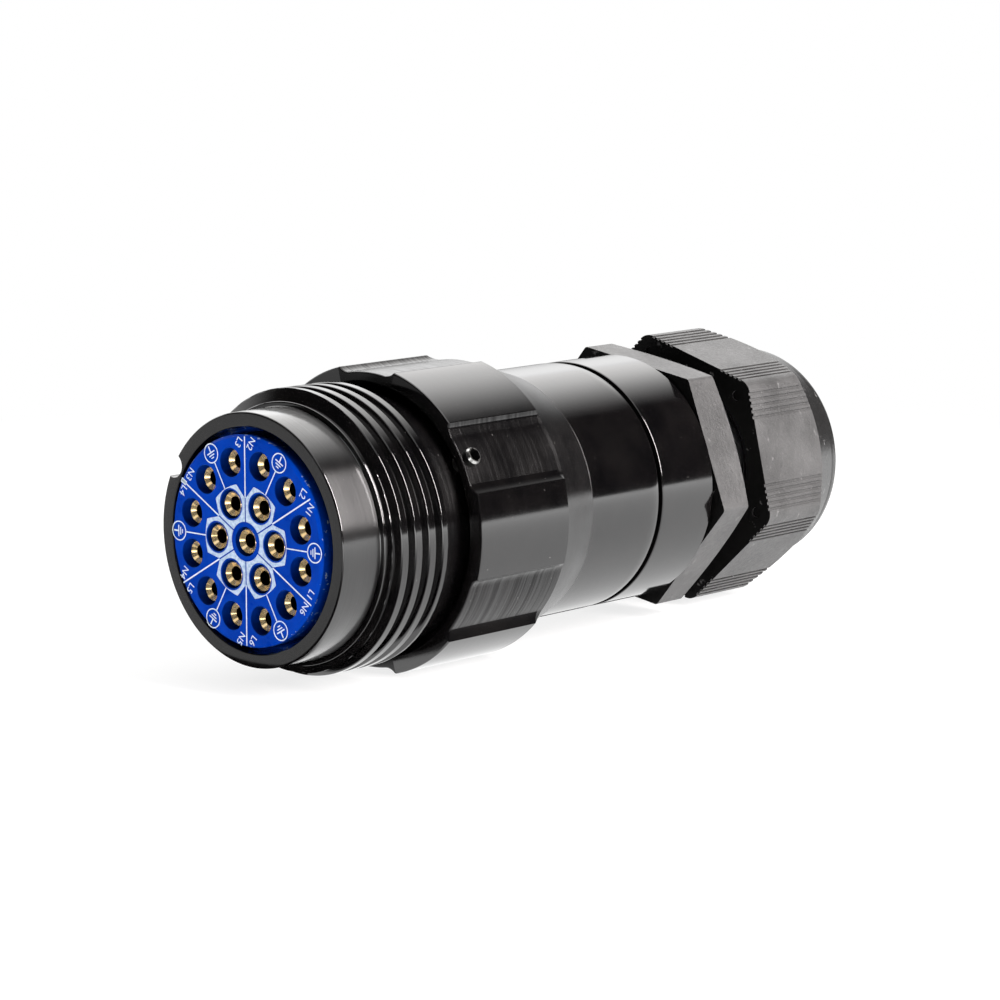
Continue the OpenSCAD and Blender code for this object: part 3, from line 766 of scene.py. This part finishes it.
def make_table():
    """Overlit white table top as mirrors see it, brighter further off and dark past its rear edge.
    In front of DARK_Y it is dark ahead and at the left, and brightest in a sector at the right."""
    m, t, out = material("table_light")
    away = length(t, from_point(t, (0.02, 0.08, 0.0)))
    xyz = add(t, "ShaderNodeSeparateXYZ", {"Vector": add(t, "ShaderNodeTexCoord").outputs["Object"]})
    front = add(t, "ShaderNodeMath", {0: DARK_Y, 1: xyz.outputs[1]}, operation="SUBTRACT").outputs[0]
    turn = add(t, "ShaderNodeMath", {0: xyz.outputs[0], 1: front}, operation="ARCTAN2").outputs[0]
    ahead = length(t, from_point(t, (0.0, DARK_Y, 0.0)))
    lit = times(t, smooth(t, turn, math.radians(25), math.radians(44)), smooth(t, ahead, 0.04, 0.16))
    sector = smooth(t, turn, math.radians(72), math.radians(54), 0.8)
    lit = times(t, lit, add(t, "ShaderNodeMath", {0: 1.0, 1: sector}, operation="ADD").outputs[0])
    lit = add(t, "ShaderNodeMath", {0: lit, 1: smooth(t, turn, math.radians(84), math.radians(96))},
              operation="MAXIMUM").outputs[0]
    level = times(t, spread(t, away, 0.03, 0.5, 1.35, 2.7), smooth(t, xyz.outputs[1], 0.80, 0.55))
    glow(t, out, times(t, level, lit))
    return m


def make_card(level):
    m, t, out = material("card")
    glow(t, out, level)
    return m


stage_plane("floor", (0, 0, FLOOR_Z), (400, 400), make_floor())

softbox = stage_plane("softbox", (0, 0, 0.82), (6, 6), make_softbox())
hide_from(softbox, "camera", "shadow")

wall = bmesh.new()
low, high = [], []
for i in range(WALL_SIDES):
    a = 2 * math.pi * i / WALL_SIDES
    x, y = WALL_R * math.cos(a), MIDDLE_Y + WALL_R * math.sin(a)
    low.append(wall.verts.new((x, y, FLOOR_Z + 0.004)))
    high.append(wall.verts.new((x, y, WALL_TOP)))
for i in range(WALL_SIDES):
    j = (i + 1) % WALL_SIDES
    wall.faces.new((low[i], low[j], high[j], high[i]))
mesh = bpy.data.meshes.new("surround")
wall.to_mesh(mesh)
wall.free()
surround = bpy.data.objects.new("surround", mesh)
scene.collection.objects.link(surround)
mesh.materials.append(make_surround())
hide_from(surround, "camera", "diffuse", "shadow", "transmission")

# Cards that only mirrors see: the table top, a greyer part of it at the left front, and one high in front
table = stage_plane("table", (0, 0, FLOOR_Z + 0.0003), (3.3, 3.3), make_table())
flag = stage_plane("flag", (-0.80, -0.812, FLOOR_Z + 0.0006), (1.60, 1.6), make_card(0.55))
high_card = stage_plane("high_card", (0.254, -0.478, 0.693), (0.5, 0.36), make_card(0.9), (0, 0, 0))
for card in (table, flag, high_card):
    hide_from(card, "camera", "shadow", "diffuse", "transmission")


def lamp(name, at, target, size, power, color=(1, 1, 1)):
    data = bpy.data.lights.new(name, "AREA")
    data.shape = "RECTANGLE"
    data.size, data.size_y = size
    data.energy = power
    data.color = color
    o = bpy.data.objects.new(name, data)
    scene.collection.objects.link(o)
    o.location = at
    o.rotation_euler = (Vector(target) - Vector(at)).to_track_quat("-Z", "Y").to_euler()
    return o


lamp("side_key", (0.76, 0.21, 0.47), (0, MIDDLE_Y, 0), (0.26, 0.74), 26.0, (1.0, 0.95, 0.94))
front = lamp("front_fill", (0.0, -0.50, 0.0), (0, 0, 0), (0.04, 0.04), 2.4)
hide_from(front, "glossy")

world = bpy.data.worlds.new("studio")
scene.world = world
world.use_nodes = True
wt = world.node_tree
wt.nodes.clear()
w_out = wt.nodes.new("ShaderNodeOutputWorld")
dim = add(wt, "ShaderNodeBackground", {"Color": (1, 1, 1, 1), "Strength": 0.10})
white = add(wt, "ShaderNodeBackground", {"Color": (1, 1, 1, 1), "Strength": 1.0})
w_mix = add(wt, "ShaderNodeMixShader", {0: seen_directly(wt), 1: dim.outputs[0], 2: white.outputs[0]})
wt.links.new(w_mix.outputs[0], w_out.inputs[0])

# Camera fitted to the photograph
cam_data = bpy.data.cameras.new("camera")
cam_data.lens = 127.43
cam_data.sensor_width = 36.0
cam_data.clip_start = 0.01
cam_data.clip_end = 500.0
cam = bpy.data.objects.new("camera", cam_data)
scene.collection.objects.link(cam)
cam.location = (0.4086, -0.3911, 0.0989)
cam.rotation_euler = (math.radians(90 - 9.283), 0, math.radians(42.164))
scene.camera = cam

scene.view_settings.view_transform = "Standard"
